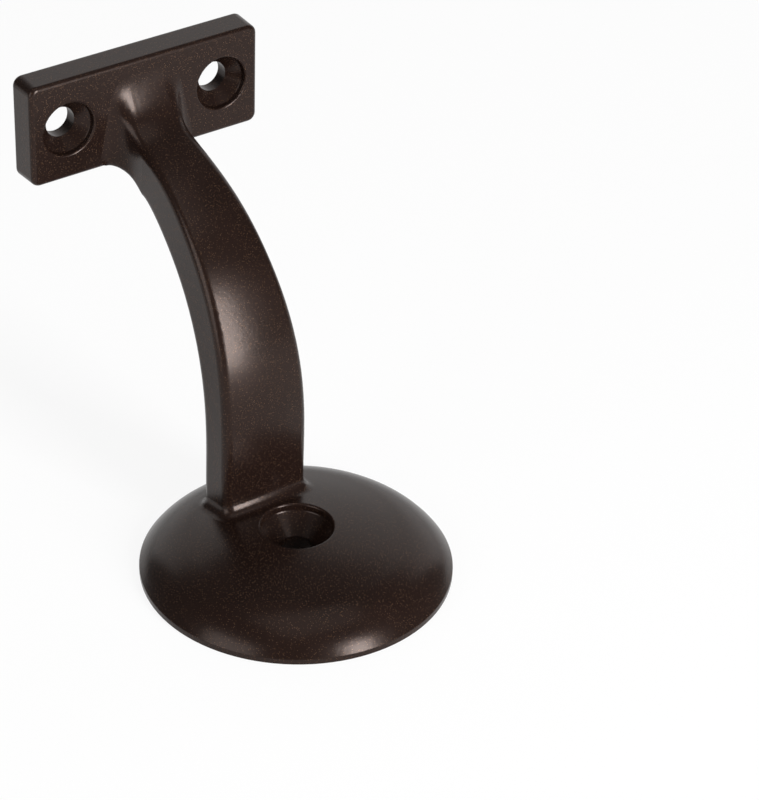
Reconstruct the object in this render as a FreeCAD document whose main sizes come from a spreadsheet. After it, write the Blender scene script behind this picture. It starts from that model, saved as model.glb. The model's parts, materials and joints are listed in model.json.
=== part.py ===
"""Handrail bracket, one die casting: domed wall plate, curved arm and screwed rail plate.

Axes: origin on the wall face at the wall screw, +Z away from the wall, +Y up to the rail,
X along the rail. Millimetres throughout.
"""

import FreeCAD
import Part
import Sketcher
import math
import os

doc = FreeCAD.newDocument("HandrailBracket")

SIZES = (
    # alias, value, meaning
    ("base_diameter", 60.0, "round wall plate"),
    ("base_edge", 1.2, "straight edge of the wall plate"),
    ("crown_height", 9.97, "top of the dome above the wall, before the screw recess"),
    ("dome_radius", 90.0, "shallow middle of the dome"),
    ("shoulder_radius", 15.0, "dome rolling down to its edge"),
    ("shell_wall", 2.8, "metal left over the cored back"),
    ("boss_diameter", 17.0, "screw boss inside the cored back"),
    ("web_width", 12.0, "web that ties the boss to the arm root"),
    ("web_height", 7.0, "web height above the wall face"),
    ("wall_recess_diameter", 14.0, "recess for the wall screw head"),
    ("wall_recess_floor", 8.2, "height where its straight side turns into the cone"),
    ("wall_hole_diameter", 6.9, "clearance for the wall screw"),
    ("arm_clearance", 3.6, "wall screw recess to the front of the arm's foot"),
    ("bend_z", 25.0, "centre of the arm's bend, out from the wall"),
    ("bend_radius", 43.6, "middle line of the arm"),
    ("face_radius", 60.0, "slight crown across the arm's outer face"),
    ("arm_corner", 1.8, "radius along the arm's long edges"),
    ("arm_draft", 3.0, "degrees the arm widens towards its inner face"),
    ("ankle_drop", 11.0, "first station, in the straight foot, below the start of the bend"),
    ("ankle_turn", 0.0, "stations round the bend, degrees from the straight foot"),
    ("foot_turn", 0.0, ""),
    ("knee_turn", 20.0, ""),
    ("elbow_turn", 40.0, ""),
    ("shoulder_turn", 53.0, ""),
    ("neck_turn", 64.8, ""),
    ("ankle_width", 18.8, "arm width at each station"),
    ("foot_width", 18.8, ""),
    ("knee_width", 17.8, ""),
    ("elbow_width", 15.75, ""),
    ("shoulder_width", 14.3, ""),
    ("neck_width", 12.75, ""),
    ("ankle_depth", 7.8, "arm thickness at each station"),
    ("foot_depth", 7.8, ""),
    ("knee_depth", 8.7, ""),
    ("elbow_depth", 9.6, ""),
    ("shoulder_depth", 9.85, ""),
    ("neck_depth", 9.8, ""),
    ("sweep_radius", 12.5, "side view: sweep from the top of the head up the rail plate"),
    ("sweep_rise", 7.8, "where that sweep meets the plate, out from the plate's middle"),
    ("flare_radius", 5.2, "plan view: sweep from the head's sides out along the plate"),
    ("head_sink", 0.05, "depth in the rail plate where the sweeps would lie flat"),
    ("throat_reach", 5.264, "station where the top sweep begins, up from the neck's middle"),
    ("throat_extra_width", 0.24, "how much wider the throat is than the collar"),
    ("throat_turn", 0.0, "stations round the flare, degrees from its start"),
    ("collar_turn", 0.0, ""),
    ("flare_a_turn", 22.0, ""),
    ("flare_b_turn", 42.0, ""),
    ("flare_c_turn", 60.0, ""),
    ("flare_d_turn", 74.0, ""),
    ("flare_e_turn", 86.0, ""),
    ("head_face_radius", 28.0, "crown across the outer face of the head"),
    ("head_top_width", 11.4, "head across its outer face before the flare"),
    ("head_top_flare", 1.6, "how far each side of that face moves out over the flare"),
    ("head_corner", 2.4, "outer corners of the head before the flare"),
    ("head_corner_growth", 2.8, "added to those corners over the flare"),
    ("head_under_width", 12.4, "head across its underside before the flare"),
    ("head_under_corner", 1.2, "lower corners of the head"),
    ("head_under_growth", 0.9, "added to those corners over the flare"),
    ("head_root", 1.6, "depth of the head's root in the rail plate"),
    ("head_root_taper", 10.0, "degrees the root narrows"),
    ("plate_reach", 13.264, "front face of the rail plate, up from the neck's middle"),
    ("plate_rise", 11.1495, "rail plate and its screws, out from the neck's middle"),
    ("plate_thickness", 6.6, "rail plate"),
    ("plate_length", 49.9, "front face, along the rail"),
    ("plate_width", 20.8, "front face, across the rail"),
    ("plate_draft", 2.0, "degrees the plate widens towards the rail face"),
    ("plate_corner", 1.7, "corner radius of the rail plate"),
    ("plate_arris", 0.9, "rounded edges of the rail plate"),
    ("rail_screw_spacing", 33.7, "between the two rail screws"),
    ("rail_recess_diameter", 10.8, "recess for a rail screw head"),
    ("rail_recess_depth", 1.1, "straight part of that recess"),
    ("rail_hole_diameter", 6.1, "clearance for a rail screw"),
    ("rail_hole_relief", 0.6, "bevel where a screw leaves the rail plate"),
    ("cutter_margin", 2.0, "how far a cut starts clear of the metal"),
    ("foot_fillet", 2.2, "between the arm and the dome"),
    ("recess_edge", 0.4, "softened mouths of the screw recesses"),
    ("recess_corner", 0.5, "inside the recesses, between straight side and cone"),
    ("rim_edge", 0.2, "softened edge of the wall plate"),
)

DERIVED = (
    # alias, formula, meaning
    ("arm_y", "wall_recess_diameter / 2 + arm_clearance + foot_depth / 2", "arm's foot, up"),
    ("bend_y", "arm_y + bend_radius", "centre of the arm's bend, up from the screw axis"),
    ("neck_y", "bend_y - bend_radius * cos(neck_turn * 1 deg)", "middle of the neck, up"),
    ("neck_z", "bend_z + bend_radius * sin(neck_turn * 1 deg)", "middle of the neck, out"),
    ("throat_y", "neck_y + throat_reach", "station where the top sweep begins, up"),
    ("plate_front", "neck_y + plate_reach", "front face of the rail plate, up"),
    ("plate_centre", "neck_z + plate_rise", "rail plate and its screws, out from the wall"),
    ("sweep_end", "plate_centre + sweep_rise", "where the top sweep meets the plate, out"),
)

ARM_STATIONS = ("foot", "knee", "elbow", "shoulder", "neck")
FLARE_STATIONS = ("collar", "flare_a", "flare_b", "flare_c", "flare_d", "flare_e")
ORIGIN = (-1, 1)
AXIS = {"across": -1, "up": -2}
CLOSE = 0.02


def make_sheet():
    sheet = doc.addObject("Spreadsheet::Sheet", "Sizes")
    derived = tuple((alias, f"={formula}", meaning) for alias, formula, meaning in DERIVED)
    for row, (alias, value, meaning) in enumerate(SIZES + derived, start=1):
        sheet.set(f"A{row}", alias)
        sheet.set(f"B{row}", str(value))
        sheet.set(f"C{row}", meaning)
        sheet.setAlias(f"B{row}", alias)
    doc.recompute()
    return sheet


sheet = make_sheet()


def value_of(expression):
    return float(sheet.evalExpression(expression.replace("Sizes.", "")))


# ---------------------------------------------------------------- sketches and features

def plane_of(body, role):
    return next(item for item in body.Origin.OriginFeatures if item.Role == role)


def new_sketch(body, name, role, offset=None):
    """Sketch on one of the body's own planes, moved along its normal by an expression."""
    sketch = body.newObject("Sketcher::SketchObject", name)
    sketch.AttachmentSupport = (plane_of(body, role), [""])
    sketch.MapMode = "FlatFace"
    if offset:
        sketch.setExpression("AttachmentOffset.Base.z", offset)
    return sketch


def line(sketch, start, end, construction=False):
    ends = [FreeCAD.Vector(x, y, 0) for x, y in (start, end)]
    return sketch.addGeometry(Part.LineSegment(*ends), construction)


def arc(sketch, centre, start, end):
    """Arc drawn counter-clockwise from start to end about the centre."""
    angles = [math.atan2(y - centre[1], x - centre[0]) for x, y in (start, end)]
    circle = Part.Circle(
        FreeCAD.Vector(*centre, 0), FreeCAD.Vector(0, 0, 1), math.dist(centre, start)
    )
    return sketch.addGeometry(Part.ArcOfCircle(circle, *angles), False)


def relate(sketch, kind, *refs):
    return sketch.addConstraint(Sketcher.Constraint(kind, *refs))


def drive(sketch, kind, name, refs, expression):
    index = sketch.addConstraint(Sketcher.Constraint(kind, *refs, value_of(expression)))
    sketch.renameConstraint(index, name)
    sketch.setExpression(f"Constraints.{name}", expression)


def place(sketch, name, ref, x, y):
    """Hold a point at two expressions measured from the sketch origin."""
    for kind, axis, expression in (("DistanceX", AXIS["up"], x), ("DistanceY", AXIS["across"], y)):
        if expression == "0":
            relate(sketch, "PointOnObject", *ref, axis)
        elif expression:
            drive(sketch, kind, f"{name}_{kind[-1]}", ORIGIN + ref, expression)


def outline(sketch, corners):
    """Closed polygon; every corner is (name, x expression, y expression)."""
    points = [(value_of(x), value_of(y)) for _, x, y in corners]
    edges = [line(sketch, a, b) for a, b in zip(points, points[1:] + points[:1])]
    for first, second in zip(edges, edges[1:] + edges[:1]):
        relate(sketch, "Coincident", first, 2, second, 1)
    for edge, (name, x, y) in zip(edges, corners):
        place(sketch, name, (edge, 1), x, y)


def rounded_rectangle(sketch, width, height, corner, middle=("0", "0")):
    """Four lines and four tangent arcs, symmetric about the middle."""
    half_w, half_h, r = value_of(width) / 2, value_of(height) / 2, value_of(corner)
    cx, cy = value_of(middle[0]), value_of(middle[1])
    west, east, south, north = cx - half_w, cx + half_w, cy - half_h, cy + half_h
    bottom = line(sketch, (west + r, south), (east - r, south))
    low_right = arc(sketch, (east - r, south + r), (east - r, south), (east, south + r))
    right = line(sketch, (east, south + r), (east, north - r))
    top_right = arc(sketch, (east - r, north - r), (east, north - r), (east - r, north))
    top = line(sketch, (east - r, north), (west + r, north))
    top_left = arc(sketch, (west + r, north - r), (west + r, north), (west, north - r))
    left = line(sketch, (west, north - r), (west, south + r))
    low_left = arc(sketch, (west + r, south + r), (west, south + r), (west + r, south))
    ring = (bottom, low_right, right, top_right, top, top_left, left, low_left)
    for first, second in zip(ring, ring[1:] + ring[:1]):
        relate(sketch, "Tangent", first, 2, second, 1)
    for rounded in (top_right, top_left, low_left):
        relate(sketch, "Equal", low_right, rounded)
    relate(sketch, "Horizontal", bottom)
    relate(sketch, "Vertical", right)
    centre = sketch.addGeometry(Part.Point(FreeCAD.Vector(cx, cy, 0)), True)
    relate(sketch, "Symmetric", bottom, 1, top, 1, centre, 1)
    place(sketch, "middle", (centre, 1), *middle)
    drive(sketch, "Distance", "width", (left, 1, right), width)
    drive(sketch, "Distance", "height", (bottom, 1, top), height)
    drive(sketch, "Radius", "corner", (low_right,), corner)


def feature(body, kind, name, profile=None, bind=None, **settings):
    item = body.newObject(f"PartDesign::{kind}", name)
    if profile is not None:
        item.Profile = profile
        profile.Visibility = False
    for prop, setting in settings.items():
        setattr(item, prop, setting)
    for prop, expression in (bind or {}).items():
        item.setExpression(prop, expression)
    doc.recompute()
    return item


def fillet(body, name, base, test, alias):
    edges = [f"Edge{n}" for n, edge in enumerate(base.Shape.Edges, start=1) if test(edge)]
    if not edges:
        raise ValueError(f"{name}: no edge found")
    return feature(body, "Fillet", name, Base=(base, edges), bind={"Radius": f"Sizes.{alias}"})


def middle_of(edge):
    return edge.valueAt((edge.FirstParameter + edge.LastParameter) / 2)


def is_near(a, b):
    return abs(a - b) < CLOSE


# ---------------------------------------------------------------- arm and head

def circle_meets_line(centre, radius, point, along):
    """First point of the line, going along it, that lies on the circle."""
    dx, dy = point[0] - centre[0], point[1] - centre[1]
    lean = dx * along[0] + dy * along[1]
    step = -lean - math.sqrt(lean ** 2 - dx ** 2 - dy ** 2 + radius ** 2)
    return point[0] + step * along[0], point[1] + step * along[1]


def section(sketch, outer, inner, outer_width, inner_width, outer_corner, inner_corner, crown):
    """Crowned outer face, drafted sides, flat inner face and four rounded corners.

    Sketch -Y is the outer side of the bend. The widths are those of the sharp corners.
    """
    low, high = value_of(outer), value_of(inner)
    wide, far = value_of(outer_width) / 2, value_of(inner_width) / 2
    big, small = value_of(outer_corner), value_of(inner_corner)
    face = value_of(crown)
    middle = (0, low + math.sqrt(face ** 2 - wide ** 2))
    length = math.hypot(far - wide, high - low)
    along = ((far - wide) / length, (high - low) / length)
    inward = (-along[1], along[0])
    start = (wide + big * inward[0], low + big * inward[1])
    lower = circle_meets_line(middle, face - big, start, along)
    step = (high - small - low - small * inward[1]) / along[1]
    upper = (wide + small * inward[0] + step * along[0], high - small)
    reach = face / (face - big)
    meet = (lower[0] * reach, middle[1] + (lower[1] - middle[1]) * reach)
    side_low = (lower[0] - big * inward[0], lower[1] - big * inward[1])
    side_high = (upper[0] - small * inward[0], upper[1] - small * inward[1])
    top = (upper[0], high)

    def flip(point):
        return -point[0], point[1]

    outer_face = arc(sketch, middle, flip(meet), meet)
    low_right = arc(sketch, lower, meet, side_low)
    right = line(sketch, side_low, side_high)
    top_right = arc(sketch, upper, side_high, top)
    inner_face = line(sketch, top, flip(top))
    top_left = arc(sketch, flip(upper), flip(top), flip(side_high))
    left = line(sketch, flip(side_high), flip(side_low))
    low_left = arc(sketch, flip(lower), flip(side_low), flip(meet))
    ring = (outer_face, low_right, right, top_right, inner_face, top_left, left, low_left)
    for first, second in zip(ring, ring[1:] + ring[:1]):
        relate(sketch, "Tangent", first, 2, second, 1)
    relate(sketch, "Symmetric", outer_face, 1, outer_face, 2, AXIS["up"])
    relate(sketch, "Symmetric", inner_face, 1, inner_face, 2, AXIS["up"])
    relate(sketch, "Equal", low_right, low_left)
    relate(sketch, "Equal", top_right, top_left)
    drive(sketch, "Radius", "face", (outer_face,), crown)
    drive(sketch, "Radius", "outer_corner", (low_right,), outer_corner)
    drive(sketch, "Radius", "inner_corner", (top_right,), inner_corner)
    for name, x, y, face_line in (
        ("outer", outer_width, outer, outer_face), ("inner", inner_width, inner, inner_face),
    ):
        sharp = FreeCAD.Vector(value_of(x) / 2, value_of(y), 0)
        corner = sketch.addGeometry(Part.Point(sharp), True)
        relate(sketch, "PointOnObject", corner, 1, right)
        relate(sketch, "PointOnObject", corner, 1, face_line)
        place(sketch, name, (corner, 1), f"({x}) / 2", y)


def station_point(station, radius):
    """Expressions for a point at a station, on a circle about the bend centre."""
    turn = f"(Sizes.{station}_turn * 1 deg)"
    return (
        f"Sizes.bend_y - {radius} * cos{turn}",
        f"Sizes.bend_z + {radius} * sin{turn}",
    )


def turned_sketch(body, station, along, out, turn):
    """Sketch whose Y axis points to the inner side of the bend."""
    sketch = new_sketch(body, f"{station}_section", "XY_Plane")
    sketch.AttachmentOffset = FreeCAD.Placement(
        FreeCAD.Vector(), FreeCAD.Rotation(FreeCAD.Vector(1, 0, 0), -1)
    )
    sketch.setExpression("AttachmentOffset.Base.y", along)
    sketch.setExpression("AttachmentOffset.Base.z", out)
    sketch.setExpression("AttachmentOffset.Rotation.Angle", f"-1 * ({turn})")
    return sketch


def arm_section(body, station, drop="0"):
    """Section square to the arm's middle line, or that far below the bend."""
    along, out = station_point(station, "Sizes.bend_radius")
    sketch = turned_sketch(body, station, along, f"{out} - {drop}", f"Sizes.{station}_turn")
    half = f"Sizes.{station}_depth / 2"
    draft = f"Sizes.{station}_depth * tan(Sizes.arm_draft * 1 deg)"
    section(
        sketch, f"-1 * {half}", half,
        f"Sizes.{station}_width - {draft}", f"Sizes.{station}_width + {draft}",
        "Sizes.arm_corner", "Sizes.arm_corner", "Sizes.face_radius",
    )
    return sketch


UNDER_Y, UNDER_Z = station_point("neck", "(Sizes.bend_radius - Sizes.neck_depth / 2)")
SWEEP_Y = "Sizes.plate_front + Sizes.head_sink - Sizes.sweep_radius"
FLARE_Y = "Sizes.plate_front + Sizes.head_sink - Sizes.flare_radius"


def head_section(body, station, along, spread="0"):
    """Section parallel to the rail plate; sketch Y points down to the wall."""
    sketch = turned_sketch(body, station, along, "0", "90")
    grown = f"(1 - cos(Sizes.{station}_turn * 1 deg))"
    over = f"sqrt(Sizes.sweep_radius ^ 2 - ({along} - ({SWEEP_Y})) ^ 2)"
    under = f"({along} - ({UNDER_Y})) * tan((90 - Sizes.neck_turn) * 1 deg)"
    section(
        sketch, f"{over} - Sizes.sweep_end", f"-1 * ({UNDER_Z}) - {under}",
        f"Sizes.head_top_width + {spread} + 2 * Sizes.head_top_flare * {grown}",
        f"Sizes.head_under_width + {spread} + 2 * Sizes.flare_radius * {grown}",
        f"Sizes.head_corner + Sizes.head_corner_growth * {grown}",
        f"Sizes.head_under_corner + Sizes.head_under_growth * {grown}",
        "Sizes.head_face_radius",
    )
    return sketch


def make_arm():
    """Straight foot from the wall face, a loft round the bend and a loft out to the plate."""
    body = doc.addObject("PartDesign::Body", "Arm")
    ankle = arm_section(body, "ankle", "Sizes.ankle_drop")
    bend = [arm_section(body, station) for station in ARM_STATIONS]
    throat = head_section(body, "throat", "Sizes.throat_y", "Sizes.throat_extra_width")
    flare = []
    for station in FLARE_STATIONS:
        along = f"{FLARE_Y} + Sizes.flare_radius * sin(Sizes.{station}_turn * 1 deg)"
        flare.append(head_section(body, station, along))
    doc.recompute()
    feature(body, "Pad", "arm_foot", ankle, {"Length": "Sizes.bend_z - Sizes.ankle_drop"},
            Reversed=True)
    feature(body, "AdditiveLoft", "arm_bend", ankle, Sections=bend + [throat])
    feature(body, "AdditiveLoft", "head_flare", throat, Sections=flare)
    feature(body, "Pad", "head_root", flare[-1],
            {"Length": "Sizes.head_root", "TaperAngle": "-1 * Sizes.head_root_taper"})
    return body


# ---------------------------------------------------------------- rail plate

def is_plate_face_edge(edge):
    """Edges round the front and rear faces of the rail plate."""
    ends = [vertex.Point.y for vertex in edge.Vertexes]
    return is_near(ends[0], ends[-1])


def make_rail_plate():
    body = doc.addObject("PartDesign::Body", "RailPlate")
    sketch = new_sketch(body, "rail_plate_outline", "XZ_Plane", "-1 * Sizes.plate_front")
    rounded_rectangle(
        sketch, "Sizes.plate_length", "Sizes.plate_width", "Sizes.plate_corner",
        ("0", "Sizes.plate_centre"),
    )
    doc.recompute()
    slab = feature(
        body, "Pad", "rail_plate_slab", sketch,
        {"Length": "Sizes.plate_thickness", "TaperAngle": "Sizes.plate_draft"}, Reversed=True,
    )
    fillet(body, "rail_plate_edges", slab, is_plate_face_edge, "plate_arris")
    return body


# ---------------------------------------------------------------- wall plate

BASE_RADIUS = "Sizes.base_diameter / 2"
CORE_DOME_RADIUS = "Sizes.dome_radius - Sizes.shell_wall"
CORE_SHOULDER_RADIUS = "Sizes.shoulder_radius - Sizes.shell_wall"
BOSS_RADIUS = "Sizes.boss_diameter / 2"


def shoulder_centre():
    """Centre of the arc that touches the dome inside and passes through the rim."""
    rim, edge, crown = (value_of(e) for e in (BASE_RADIUS, "Sizes.base_edge", "Sizes.crown_height"))
    dome_r, roll = value_of("Sizes.dome_radius"), value_of("Sizes.shoulder_radius")
    middle = crown - dome_r
    apart = math.hypot(rim, edge - middle)
    reach = dome_r - roll
    along = (reach ** 2 - roll ** 2 + apart ** 2) / (2 * apart)
    aside = math.sqrt(reach ** 2 - along ** 2)
    unit = (rim / apart, (edge - middle) / apart)
    return along * unit[0] - aside * unit[1], middle + along * unit[1] + aside * unit[0]


def wall_plate_profile(body):
    """Half section of the domed shell with its screw boss."""
    sketch = new_sketch(body, "wall_plate_profile", "YZ_Plane")
    rim, edge, crown = (value_of(e) for e in (BASE_RADIUS, "Sizes.base_edge", "Sizes.crown_height"))
    dome_r, core_r = value_of("Sizes.dome_radius"), value_of(CORE_DOME_RADIUS)
    roll_core_r, boss = value_of(CORE_SHOULDER_RADIUS), value_of(BOSS_RADIUS)
    middle, roll_middle = (0, crown - dome_r), shoulder_centre()
    lean = math.atan2(roll_middle[0], roll_middle[1] - middle[1])
    turn_over = (dome_r * math.sin(lean), middle[1] + dome_r * math.cos(lean))
    core_turn = (core_r * math.sin(lean), middle[1] + core_r * math.cos(lean))
    land = roll_middle[0] + math.sqrt(roll_core_r ** 2 - roll_middle[1] ** 2)
    ceiling = middle[1] + math.sqrt(core_r ** 2 - boss ** 2)
    axis = line(sketch, (0, 0), (0, crown))
    dome = arc(sketch, middle, turn_over, (0, crown))
    shoulder = arc(sketch, roll_middle, (rim, edge), turn_over)
    side = line(sketch, (rim, edge), (rim, 0))
    seat = line(sketch, (rim, 0), (land, 0))
    core_shoulder = arc(sketch, roll_middle, (land, 0), core_turn)
    core_dome = arc(sketch, middle, core_turn, (boss, ceiling))
    boss_side = line(sketch, (boss, ceiling), (boss, 0))
    boss_face = line(sketch, (boss, 0), (0, 0))
    for first, second in (
        ((axis, 2), (dome, 2)), ((shoulder, 1), (side, 1)), ((side, 2), (seat, 1)),
        ((seat, 2), (core_shoulder, 1)), ((core_dome, 2), (boss_side, 1)),
        ((boss_side, 2), (boss_face, 1)), ((boss_face, 2), (axis, 1)), ((axis, 1), ORIGIN),
        ((core_dome, 3), (dome, 3)), ((core_shoulder, 3), (shoulder, 3)),
    ):
        relate(sketch, "Coincident", *first, *second)
    relate(sketch, "Tangent", dome, 1, shoulder, 2)
    relate(sketch, "Tangent", core_dome, 1, core_shoulder, 2)
    relate(sketch, "PointOnObject", axis, 2, AXIS["up"])
    relate(sketch, "PointOnObject", dome, 3, AXIS["up"])
    relate(sketch, "PointOnObject", seat, 2, AXIS["across"])
    relate(sketch, "Vertical", boss_side)
    place(sketch, "crown", (axis, 2), None, "Sizes.crown_height")
    place(sketch, "rim", (shoulder, 1), BASE_RADIUS, "Sizes.base_edge")
    place(sketch, "foot", (side, 2), BASE_RADIUS, "0")
    place(sketch, "boss", (boss_face, 1), BOSS_RADIUS, "0")
    drive(sketch, "Radius", "dome_radius", (dome,), "Sizes.dome_radius")
    drive(sketch, "Radius", "shoulder_radius", (shoulder,), "Sizes.shoulder_radius")
    drive(sketch, "Radius", "core_dome_radius", (core_dome,), CORE_DOME_RADIUS)
    return sketch


def wall_plate_web(body):
    """Ties the screw boss to the root of the arm inside the cored back."""
    sketch = new_sketch(body, "wall_plate_web", "XY_Plane")
    half = "Sizes.web_width / 2"
    outline(sketch, (
        ("left", f"-1 * {half}", "0"),
        ("right", half, "0"),
        ("far_right", half, "Sizes.arm_y"),
        ("far_left", f"-1 * {half}", "Sizes.arm_y"),
    ))
    return sketch


# ---------------------------------------------------------------- screw holes

RECESS_R = "Sizes.wall_recess_diameter / 2"
WALL_HOLE_R = "Sizes.wall_hole_diameter / 2"
RAIL_X = "Sizes.rail_screw_spacing / 2"
RAIL_RECESS_R = "Sizes.rail_recess_diameter / 2"
RAIL_HOLE_R = "Sizes.rail_hole_diameter / 2"
RAIL_FACE = "Sizes.plate_front + Sizes.plate_thickness"


def cut_wall_hole(body):
    """Recess, 45 degree cone and clearance hole on the dome's axis."""
    sketch = new_sketch(body, "wall_hole_profile", "YZ_Plane")
    above = "Sizes.crown_height + Sizes.cutter_margin"
    below = "-1 * Sizes.cutter_margin"
    outline(sketch, (
        ("top", "0", above),
        ("mouth", RECESS_R, above),
        ("floor", RECESS_R, "Sizes.wall_recess_floor"),
        ("throat", WALL_HOLE_R, f"Sizes.wall_recess_floor - {RECESS_R} + {WALL_HOLE_R}"),
        ("exit", WALL_HOLE_R, below),
        ("bottom", "0", below),
    ))
    doc.recompute()
    return feature(body, "Groove", "wall_screw_hole", sketch, ReferenceAxis=(sketch, ["V_Axis"]))


def cut_rail_holes(body):
    """Recess, 45 degree cone, clearance hole and relief, then its twin."""
    sketch = new_sketch(body, "rail_hole_profile", "XY_Plane", "Sizes.plate_centre")
    before = "Sizes.plate_front - Sizes.cutter_margin"
    beyond = f"{RAIL_FACE} + Sizes.cutter_margin"
    floor = "Sizes.plate_front + Sizes.rail_recess_depth"
    relief_r = f"{RAIL_X} + {RAIL_HOLE_R} + Sizes.rail_hole_relief"
    centre_line = line(
        sketch, (value_of(RAIL_X), value_of(before)), (value_of(RAIL_X), value_of(beyond)), True
    )
    place(sketch, "axis_start", (centre_line, 1), RAIL_X, before)
    place(sketch, "axis_end", (centre_line, 2), RAIL_X, beyond)
    outline(sketch, (
        ("start", RAIL_X, before),
        ("mouth", f"{RAIL_X} + {RAIL_RECESS_R}", before),
        ("floor", f"{RAIL_X} + {RAIL_RECESS_R}", floor),
        ("throat", f"{RAIL_X} + {RAIL_HOLE_R}", f"{floor} + {RAIL_RECESS_R} - {RAIL_HOLE_R}"),
        ("relief", f"{RAIL_X} + {RAIL_HOLE_R}", f"{RAIL_FACE} - Sizes.rail_hole_relief"),
        ("rear", relief_r, RAIL_FACE),
        ("clear", relief_r, beyond),
        ("end", RAIL_X, beyond),
    ))
    doc.recompute()
    hole = feature(body, "Groove", "rail_screw_hole", sketch, ReferenceAxis=(sketch, ["Axis0"]))
    holes = feature(body, "Mirrored", "rail_screw_holes", Originals=[hole],
                    MirrorPlane=(plane_of(body, "YZ_Plane"), [""]))
    body.Tip = holes
    doc.recompute()
    return holes


# ---------------------------------------------------------------- edges of the casting

def is_foot_edge(edge):
    """Where the arm leaves the dome."""
    half = value_of("Sizes.foot_width / 2 + Sizes.foot_depth / 2")
    front = value_of("Sizes.arm_y - Sizes.foot_depth / 2") - CLOSE
    back = value_of("Sizes.arm_y + Sizes.foot_depth / 2") + CLOSE
    low, high = value_of("Sizes.base_edge"), value_of("Sizes.crown_height")
    ends = [vertex.Point for vertex in edge.Vertexes]
    return len(ends) > 1 and all(
        low < p.z < high and abs(p.x) < half and front < p.y < back for p in ends
    )


def is_recess_rim(edge):
    """Mouths of the three screw recesses."""
    wall = value_of(RECESS_R)
    rail = value_of(RAIL_RECESS_R)
    ends = [vertex.Point for vertex in edge.Vertexes]
    mid = middle_of(edge)
    on_wall = all(is_near(math.hypot(p.x, p.y), wall) for p in ends + [mid])
    on_wall = on_wall and mid.z > value_of("Sizes.wall_recess_floor") + CLOSE
    x, z = value_of(RAIL_X), value_of("Sizes.plate_centre")
    on_rail = is_near(math.hypot(abs(mid.x) - x, mid.z - z), rail)
    on_rail = on_rail and is_near(mid.y, value_of("Sizes.plate_front"))
    return on_wall or on_rail


def is_recess_corner(edge):
    """Where the straight side of a screw recess turns into its cone."""
    mid = middle_of(edge)
    on_wall = is_near(math.hypot(mid.x, mid.y), value_of(RECESS_R))
    on_wall = on_wall and is_near(mid.z, value_of("Sizes.wall_recess_floor"))
    x, z = value_of(RAIL_X), value_of("Sizes.plate_centre")
    on_rail = is_near(math.hypot(abs(mid.x) - x, mid.z - z), value_of(RAIL_RECESS_R))
    floor = value_of("Sizes.plate_front + Sizes.rail_recess_depth")
    return on_wall or (on_rail and is_near(mid.y, floor))


def is_wall_rim(edge):
    """Upper and lower edges round the wall plate."""
    mid = middle_of(edge)
    return is_near(math.hypot(mid.x, mid.y), value_of(BASE_RADIUS)) and is_near(
        edge.Vertexes[0].Point.z, edge.Vertexes[-1].Point.z
    )


def make_casting():
    arm, rail_plate = make_arm(), make_rail_plate()
    body = doc.addObject("PartDesign::Body", "bracket_casting")
    shell = wall_plate_profile(body)
    doc.recompute()
    feature(body, "Revolution", "wall_plate_shell", shell, ReferenceAxis=(shell, ["V_Axis"]))
    web = wall_plate_web(body)
    doc.recompute()
    feature(body, "Pad", "wall_plate_root_web", web, {"Length": "Sizes.web_height"})
    joined = body.newObject("PartDesign::Boolean", "arm_and_rail_plate")
    joined.setObjects([arm, rail_plate])
    joined.Type = "Fuse"
    doc.recompute()
    fillet(body, "arm_foot_fillet", joined, is_foot_edge, "foot_fillet")
    cut_wall_hole(body)
    holes = cut_rail_holes(body)
    corners = fillet(body, "screw_recess_corners", holes, is_recess_corner, "recess_corner")
    rims = fillet(body, "screw_recess_edges", corners, is_recess_rim, "recess_edge")
    fillet(body, "wall_plate_edges", rims, is_wall_rim, "rim_edge")
    return body


# ---------------------------------------------------------------- build and write

def check_document():
    for item in doc.Objects:
        if {"Invalid", "Error"} & set(item.State):
            raise ValueError(f"{item.Name} did not build: {item.State}")
        if hasattr(item, "Shape") and item.isDerivedFrom("PartDesign::Feature"):
            if item.Shape.isNull() or not item.Shape.isValid():
                raise ValueError(f"{item.Name} has no valid shape")


casting = make_casting()
doc.recompute()
check_document()
os.makedirs("parts", exist_ok=True)
casting.Shape.exportStep("parts/bracket_casting.step")
size = casting.Shape.optimalBoundingBox(True, False)
print(f"bracket_casting: {size.XLength:.1f} x {size.YLength:.1f} x {size.ZLength:.1f} mm, "
      f"{casting.Shape.Volume / 1000:.2f} cm3, {len(casting.Shape.Solids)} solid")
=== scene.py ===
# %% [markdown]
# # Handrail bracket in satin dark bronze
# The bracket is one die casting: a domed round plate screwed to the wall, a flat arm that curves up
# from it, and a small plate at the arm's end that screws to the underside of a handrail. The solid
# model already holds its form, so this lesson is about finish. It builds the powder coat with its
# metal flecks, and the camera, floor and soft lamps that show it.

import json
import math

import bpy
from mathutils import Matrix, Vector


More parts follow.
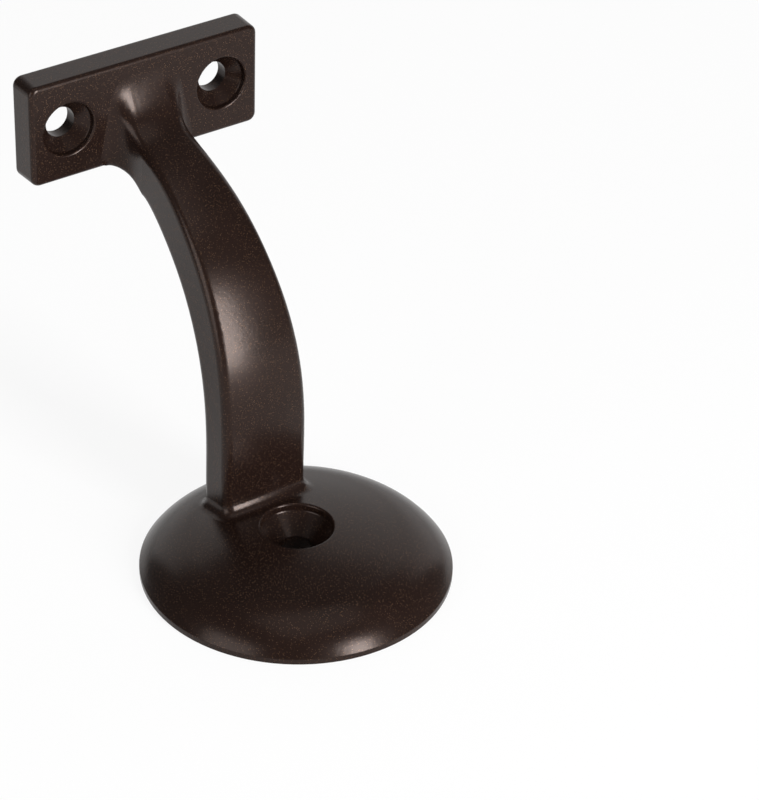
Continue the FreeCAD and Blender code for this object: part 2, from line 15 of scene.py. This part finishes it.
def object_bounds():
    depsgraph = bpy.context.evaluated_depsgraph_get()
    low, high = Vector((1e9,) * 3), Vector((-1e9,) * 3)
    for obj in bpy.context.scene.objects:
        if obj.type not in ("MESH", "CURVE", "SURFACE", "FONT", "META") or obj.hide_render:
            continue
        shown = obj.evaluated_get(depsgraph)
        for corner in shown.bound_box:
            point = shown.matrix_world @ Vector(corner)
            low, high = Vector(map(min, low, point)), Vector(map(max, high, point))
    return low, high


MM = 0.001
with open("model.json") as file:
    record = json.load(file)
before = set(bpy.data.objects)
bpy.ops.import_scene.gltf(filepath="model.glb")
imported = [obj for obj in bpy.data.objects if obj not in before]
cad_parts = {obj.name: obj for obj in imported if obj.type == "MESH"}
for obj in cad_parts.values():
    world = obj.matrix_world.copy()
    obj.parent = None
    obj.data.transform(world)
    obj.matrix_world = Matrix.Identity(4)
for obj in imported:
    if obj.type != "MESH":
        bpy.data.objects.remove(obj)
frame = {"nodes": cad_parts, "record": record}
cad_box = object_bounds()
casting = frame["nodes"]["bracket_casting"]
print("bracket spans", [round(side / MM, 1) for side in cad_box[1] - cad_box[0]], "mm")

# %% [markdown]
# ## The places the scene needs
# The camera print and the floor need the wall screw and the radius of the round plate. Both are
# read from the model, so they stay true if the bracket is changed.

# %% Read places from the model
mounts = {mount["name"]: mount for mount in frame["record"]["mounts"]}
wall_screw = Vector(mounts["wall_screw"]["pos_m"])
base_radius = cad_box[1].x
print("base radius", round(base_radius / MM, 1), "mm, wall screw at", wall_screw / MM)

# %% [markdown]
# ## Helpers for shader nodes
# A material is a graph of nodes joined by links. Two small helpers keep the graphs short: one adds
# a node and sets its sockets, the other makes an empty node group with named inputs and outputs.

# %% Node helpers
MIX_FACTOR, MIX_A, MIX_B, MIX_RESULT = 0, 6, 7, 2   # colour sockets of the Mix node


def add_node(tree, kind, values=None, **settings):
    """New shader node; values go to its input sockets, settings to its own properties."""
    node = tree.nodes.new(f"ShaderNode{kind}")
    for name, value in settings.items():
        setattr(node, name, value)
    for socket, value in (values or {}).items():
        if isinstance(value, bpy.types.NodeSocket):
            tree.links.new(value, node.inputs[socket])
        else:
            node.inputs[socket].default_value = value
    return node


def math_node(tree, operation, *values):
    """One Math node; every value is a number or a socket."""
    return add_node(tree, "Math", dict(enumerate(values)), operation=operation).outputs[0]


def mix_colour(tree, factor, first, second):
    """Blend of two colours; each is an RGBA tuple or a socket."""
    node = add_node(tree, "Mix", {MIX_FACTOR: factor, MIX_A: first, MIX_B: second},
                    data_type="RGBA")
    return node.outputs[MIX_RESULT]


def new_group(name, inputs, outputs):
    """Shader node group with float or vector inputs (name, kind, default)."""
    group = bpy.data.node_groups.new(name, "ShaderNodeTree")
    for label, kind, default in inputs:
        socket = group.interface.new_socket(label, in_out="INPUT", socket_type=f"NodeSocket{kind}")
        if default is not None:
            socket.default_value = default
    for label, kind in outputs:
        group.interface.new_socket(label, in_out="OUTPUT", socket_type=f"NodeSocket{kind}")
    start = group.nodes.new("NodeGroupInput").outputs
    end = group.nodes.new("NodeGroupOutput").inputs
    return group, start, end


def use_group(tree, group, values):
    node = tree.nodes.new("ShaderNodeGroup")
    node.node_tree = group
    for name, value in values.items():
        if isinstance(value, bpy.types.NodeSocket):
            tree.links.new(value, node.inputs[name])
        else:
            node.inputs[name].default_value = value
    return node.outputs


print("node helpers ready")

# %% [markdown]
# ## Metal flecks in the coat
# Bronze powder coat is a dark brown paint with tiny flakes of copper-coloured metal in it. Most
# flakes lie below the surface and only warm the brown. About one in four is shown as a brighter
# grain. A Voronoi texture cuts space into cells with a random value each. Keeping only
# the cells above a threshold gives scattered grains whose number is easy to set.

# %% Fleck group


def make_fleck_group():
    group, given, out = new_group(
        "coat_flecks",
        [("Vector", "Vector", None), ("Grain per metre", "Float", 2500.0),
         ("Share", "Float", 0.04), ("Softness", "Float", 0.3)],
        [("Mask", "Float"), ("Lightness", "Float")],
    )
    cells = add_node(group, "TexVoronoi", {
        "Vector": given["Vector"], "Scale": given["Grain per metre"], "Randomness": 1.0,
    }, feature="F1")
    chance = add_node(group, "SeparateColor", {"Color": cells.outputs["Color"]})
    rare = math_node(group, "GREATER_THAN", chance.outputs["Red"],
                     math_node(group, "SUBTRACT", 1.0, given["Share"]))
    near = add_node(group, "MapRange", {
        "Value": cells.outputs["Distance"], "From Min": given["Softness"], "From Max": 0.0,
    }, clamp=True)
    mask = math_node(group, "MULTIPLY", rare, near.outputs["Result"])
    group.links.new(mask, out["Mask"])
    group.links.new(chance.outputs["Green"], out["Lightness"])
    return group


flecks = make_fleck_group()
print("group", flecks.name, "with", len(flecks.nodes), "nodes")

# %% [markdown]
# ## Powder coat surface
# Powder melts and flows before it sets, which leaves a fine unevenness like orange peel, about a
# third of a millimetre across and a few microns high. A second, slower wave stands for the casting
# under the coat. Both are heights, so they go through a Bump node and never change the outline.

# %% Orange peel group


def make_peel_group():
    group, given, out = new_group(
        "coat_peel",
        [("Vector", "Vector", None), ("Peel per metre", "Float", 1500.0),
         ("Cast per metre", "Float", 160.0), ("Cast share", "Float", 0.5)],
        [("Height", "Float")],
    )
    peel = add_node(group, "TexNoise", {
        "Vector": given["Vector"], "Scale": given["Peel per metre"], "Detail": 2.0,
        "Roughness": 0.55,
    })
    cast = add_node(group, "TexNoise", {
        "Vector": given["Vector"], "Scale": given["Cast per metre"], "Detail": 1.0,
    })
    slow = math_node(group, "MULTIPLY", cast.outputs["Fac"], given["Cast share"])
    group.links.new(math_node(group, "ADD", peel.outputs["Fac"], slow), out["Height"])
    return group


peel = make_peel_group()
print("group", peel.name, "with", len(peel.nodes), "nodes")

# %% [markdown]
# ## Seam left by the mould
# The mould halves met at the back of the arm. Beside its foot they left a fine line on the dome,
# which the coat half fills and which fades after a few millimetres. On so dark a coat it is too
# faint to see from a step away. The mask is a thin band across Y that runs outward from the arm's
# side, the same on the left and on the right. It dents the coat as a groove, and the material also
# colours it near black as painted shade in that groove.

# %% Seam group
SEAM_Y = 18.0 * MM
SEAM_START = 9.0 * MM
SEAM_END = 15.5 * MM
SEAM_HALF_WIDTH = 0.22 * MM
SEAM_TOP = 13.0 * MM


def make_seam_group():
    group, given, out = new_group("mould_seam", [("Vector", "Vector", None)], [("Mask", "Float")])
    x, y, z = add_node(group, "SeparateXYZ", {"Vector": given["Vector"]}).outputs
    aside = math_node(group, "ABSOLUTE", x)
    off_line = math_node(group, "ABSOLUTE", math_node(group, "SUBTRACT", y, SEAM_Y))
    band = add_node(group, "MapRange", {
        "Value": off_line, "From Min": SEAM_HALF_WIDTH, "From Max": 0.0,
    })
    fade = add_node(group, "MapRange", {
        "Value": aside, "From Min": SEAM_END, "From Max": SEAM_START,
    })
    beside = math_node(group, "GREATER_THAN", aside, SEAM_START)
    low = math_node(group, "LESS_THAN", z, SEAM_TOP)
    place = math_node(group, "MULTIPLY", beside, low)
    line = math_node(group, "MULTIPLY", band.outputs["Result"], fade.outputs["Result"])
    group.links.new(math_node(group, "MULTIPLY", line, place), out["Mask"])
    return group


seam = make_seam_group()
print("group", seam.name, "with", len(seam.nodes), "nodes")

# %% [markdown]
# ## The bronze coat
# The material joins the three groups. Base colour is a warm near-black brown that drifts a little
# from place to place, because the powder never lies quite evenly. Flecks are lighter, copper
# coloured and partly metallic. Roughness is that of a satin coat.

# %% Bronze coat material
COAT_DARK = (0.0070, 0.0034, 0.0025, 1.0)
COAT_LIGHT = (0.0128, 0.0066, 0.0050, 1.0)
COAT_SHEEN = (1.0, 0.82, 0.75, 1.0)
SEAM_GROOVE_SHADE = (0.003, 0.002, 0.0015, 1.0)
COAT_SHINE = 0.235
FLECK_COPPER = (0.075, 0.036, 0.016, 1.0)
FLECK_PALE = (0.160, 0.095, 0.060, 1.0)
FLECKS_PER_METRE = 4600.0
FLECK_SHARE = 0.24
FLECK_SOFTNESS = 0.45
FLECK_METAL = 0.6
DRIFT_PER_METRE = 90.0
DRIFT_DETAIL = 4.0
ROUGH_LOW = 0.22
ROUGH_HIGH = 0.28
SEAM_GROOVE = 2.0
BUMP_STRENGTH = 0.35
BUMP_DEPTH = 0.04 * MM


def make_bronze_coat():
    material = bpy.data.materials.new("bronze_coat")
    material.use_nodes = True
    tree = material.node_tree
    shader = tree.nodes["Principled BSDF"]
    place = add_node(tree, "TexCoord").outputs["Object"]
    drift = add_node(tree, "TexNoise", {
        "Vector": place, "Scale": DRIFT_PER_METRE, "Detail": DRIFT_DETAIL,
    })
    fleck = use_group(tree, flecks, {
        "Vector": place, "Grain per metre": FLECKS_PER_METRE, "Share": FLECK_SHARE,
        "Softness": FLECK_SOFTNESS,
    })
    brown = mix_colour(tree, drift.outputs["Fac"], COAT_DARK, COAT_LIGHT)
    grain = mix_colour(tree, fleck["Lightness"], FLECK_COPPER, FLECK_PALE)
    line = use_group(tree, seam, {"Vector": place})["Mask"]
    coated = mix_colour(tree, fleck["Mask"], brown, grain)
    # painted shade: the seam line is coloured near black for the shade inside its groove
    colour = mix_colour(tree, line, coated, SEAM_GROOVE_SHADE)
    tree.links.new(colour, shader.inputs["Base Color"])
    shader.inputs["Specular IOR Level"].default_value = COAT_SHINE
    shader.inputs["Specular Tint"].default_value = COAT_SHEEN
    metal = math_node(tree, "MULTIPLY", fleck["Mask"], FLECK_METAL)
    tree.links.new(metal, shader.inputs["Metallic"])
    rough = add_node(tree, "MapRange", {
        "Value": drift.outputs["Fac"], "To Min": ROUGH_LOW, "To Max": ROUGH_HIGH,
    })
    tree.links.new(rough.outputs["Result"], shader.inputs["Roughness"])
    height = use_group(tree, peel, {"Vector": place})["Height"]
    groove = math_node(tree, "MULTIPLY", line, SEAM_GROOVE)
    grooved = math_node(tree, "SUBTRACT", height, groove)
    bump = add_node(tree, "Bump", {
        "Height": grooved, "Strength": BUMP_STRENGTH, "Distance": BUMP_DEPTH,
    })
    tree.links.new(bump.outputs["Normal"], shader.inputs["Normal"])
    return material


bronze_coat = make_bronze_coat()
casting.data.materials.clear()
casting.data.materials.append(bronze_coat)
print("coated", casting.name, "with", bronze_coat.name)

# %% [markdown]
# ## Camera
# A long lens from above and to the left, as in a shop's picture of the part. It stands nearly sixty
# centimetres away, so the near rim of the wall plate is only a little larger than the far one.

# %% Camera
CAMERA_PLACE = Vector((-273.7, -400.5, 368.6)) * MM
CAMERA_AZIMUTH = math.radians(-36.107)
CAMERA_ELEVATION = math.radians(34.196)
CAMERA_ROLL = math.radians(1.943)
CAMERA_LENS = 142.82


def make_camera():
    level = math.cos(CAMERA_ELEVATION)
    back = Vector((
        math.sin(CAMERA_AZIMUTH) * level, -math.cos(CAMERA_AZIMUTH) * level,
        math.sin(CAMERA_ELEVATION),
    ))
    right = Vector((math.cos(CAMERA_AZIMUTH), math.sin(CAMERA_AZIMUTH), 0.0))
    turn = Matrix((right, back.cross(right), back)).transposed().to_4x4()
    data = bpy.data.cameras.new("camera")
    data.lens = CAMERA_LENS
    camera = bpy.data.objects.new("camera", data)
    bpy.context.scene.collection.objects.link(camera)
    camera.matrix_world = (
        Matrix.Translation(CAMERA_PLACE) @ turn @ Matrix.Rotation(CAMERA_ROLL, 4, "Z")
    )
    bpy.context.scene.camera = camera
    return camera


camera = make_camera()
print("camera", round((camera.location - wall_screw).length / MM), "mm from the wall screw")

# %% [markdown]
# ## Floor
# A plain pale sheet. The eye should see it as white, so part of what the camera and the reflections
# see is light of strength one, and the rest is the lit sheet, which keeps the soft shadow. That glow
# is left out in a disc under the wall plate as painted shade there, so the screw hole looks dark.

# %% Floor
FLOOR_SIZE = 6.0
FLOOR_DROP = 0.02 * MM
FLOOR_WHITE = (0.92, 0.92, 0.92, 1.0)
FLOOR_GLOW_SHARE = 0.88
FLOOR_ROUGHNESS = 0.9
GLOW_MARGIN = 1.0 * MM


def make_floor():
    half = FLOOR_SIZE / 2
    mesh = bpy.data.meshes.new("floor")
    mesh.from_pydata(
        [(x, y, -FLOOR_DROP) for x, y in ((-half, -half), (half, -half), (half, half), (-half, half))],
        [], [(0, 1, 2, 3)],
    )
    floor = bpy.data.objects.new("floor", mesh)
    bpy.context.scene.collection.objects.link(floor)
    material = bpy.data.materials.new("floor_sheet")
    material.use_nodes = True
    tree = material.node_tree
    sheet = tree.nodes["Principled BSDF"]
    sheet.inputs["Base Color"].default_value = FLOOR_WHITE
    sheet.inputs["Roughness"].default_value = FLOOR_ROUGHNESS
    glow = add_node(tree, "Emission", {"Color": (1, 1, 1, 1), "Strength": 1.0})
    rays = add_node(tree, "LightPath").outputs
    seen = math_node(tree, "MAXIMUM", rays["Is Camera Ray"],
                     math_node(tree, "MAXIMUM", rays["Is Glossy Ray"], rays["Is Transmission Ray"]))
    spot = add_node(tree, "TexCoord").outputs["Object"]
    away = add_node(tree, "VectorMath", {0: spot}, operation="LENGTH").outputs["Value"]
    # painted shade: no glow inside the wall plate's radius, so the floor under the plate stands dark
    # as if shaded
    unshaded_floor = math_node(tree, "GREATER_THAN", away, base_radius - GLOW_MARGIN)
    share = math_node(tree, "MULTIPLY", math_node(tree, "MULTIPLY", seen, unshaded_floor),
                      FLOOR_GLOW_SHARE)
    blend = add_node(tree, "MixShader", {0: share, 1: sheet.outputs[0], 2: glow.outputs[0]})
    tree.links.new(blend.outputs[0], tree.nodes["Material Output"].inputs["Surface"])
    mesh.materials.append(material)
    return floor


floor = make_floor()
print("floor laid", FLOOR_DROP / MM, "mm under the wall plate")

# %% [markdown]
# ## Lamps
# A satin coat shows its shape by the bright patches that lamps leave on it. Two soft boxes stand
# left and right of the camera. A wide panel behind the bracket lights the far side of the dome, and
# a dim one hangs overhead. Each lamp is placed by its bearing round the bracket and its height
# angle, and is turned to face the bracket.

# %% Lamps
LAMP_TARGET = Vector((0.0, 20.0, 40.0)) * MM
LAMPS = (
    # name, bearing, height angle, distance m, width m, height m, strength W
    ("left_box", -80.0, 17.0, 1.0, 0.60, 0.75, 4.6),
    ("right_box", 11.0, 14.0, 1.0, 0.28, 0.80, 19.0),
    ("back_panel", 145.0, 24.0, 1.3, 2.6, 1.1, 8.8),
    ("top_panel", 0.0, 78.0, 1.0, 0.8, 0.6, 1.2),
)


def make_lamp(name, bearing, height, distance, width, tall, watts):
    angle, lift = math.radians(bearing), math.radians(height)
    away = Vector((
        math.sin(angle) * math.cos(lift), -math.cos(angle) * math.cos(lift), math.sin(lift),
    ))
    data = bpy.data.lights.new(name, "AREA")
    data.shape = "RECTANGLE"
    data.size, data.size_y = width, tall
    data.energy = watts
    lamp = bpy.data.objects.new(name, data)
    bpy.context.scene.collection.objects.link(lamp)
    lamp.location = LAMP_TARGET + away * distance
    lamp.rotation_euler = away.to_track_quat("Z", "Y").to_euler()
    return lamp


lamps = [make_lamp(*row) for row in LAMPS]
print("lamps:", ", ".join(lamp.name for lamp in lamps))

# %% [markdown]
# ## Room light
# The rest of the room gives an even grey light from all round, so no side of the bracket is black.

# %% Room
ROOM_LIGHT = 0.16


def make_room():
    world = bpy.data.worlds.new("room")
    bpy.context.scene.world = world
    world.use_nodes = True
    grey = world.node_tree.nodes["Background"].inputs
    grey["Color"].default_value = (1.0, 1.0, 1.0, 1.0)
    grey["Strength"].default_value = ROOM_LIGHT
    return world


make_room()
bpy.context.scene.view_settings.view_transform = "Standard"
print("room light", ROOM_LIGHT)
